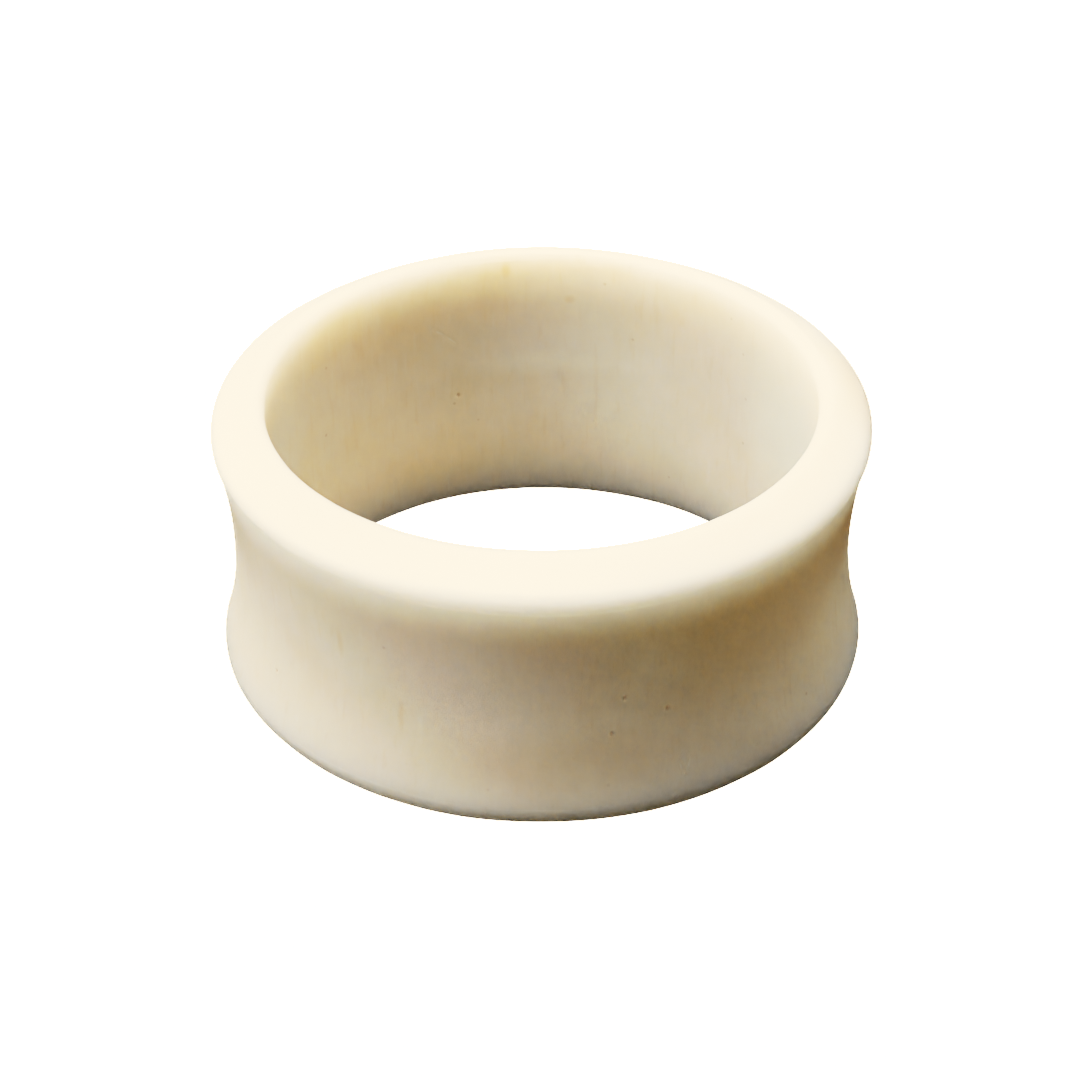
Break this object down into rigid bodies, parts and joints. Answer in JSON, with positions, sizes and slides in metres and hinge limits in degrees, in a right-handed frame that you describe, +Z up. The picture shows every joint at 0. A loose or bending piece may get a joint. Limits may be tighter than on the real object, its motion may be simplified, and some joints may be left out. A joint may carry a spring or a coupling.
{
  "type": "double-flared ear eyelet",
  "caption": "Hollow ear eyelet turned from bone, with a hollowed neck for the stretched lobe, a straight bore and a rounded, sloping flare at each end.",
  "frame": {"origin": "middle of the foot, on the surface that the lower flare stands on", "axes": "+Z up along the bore; +X to the right and +Y away as the picture is seen"},
  "size_m": [0.0264, 0.0262, 0.0122],
  "materials": {
    "bone": "satin polished bone, ivory, with fine grain running through the wall and a few small brown pores"
  },
  "bodies": {
    "root": {"bone_eyelet": "bone"}
  },
  "joints": []
}
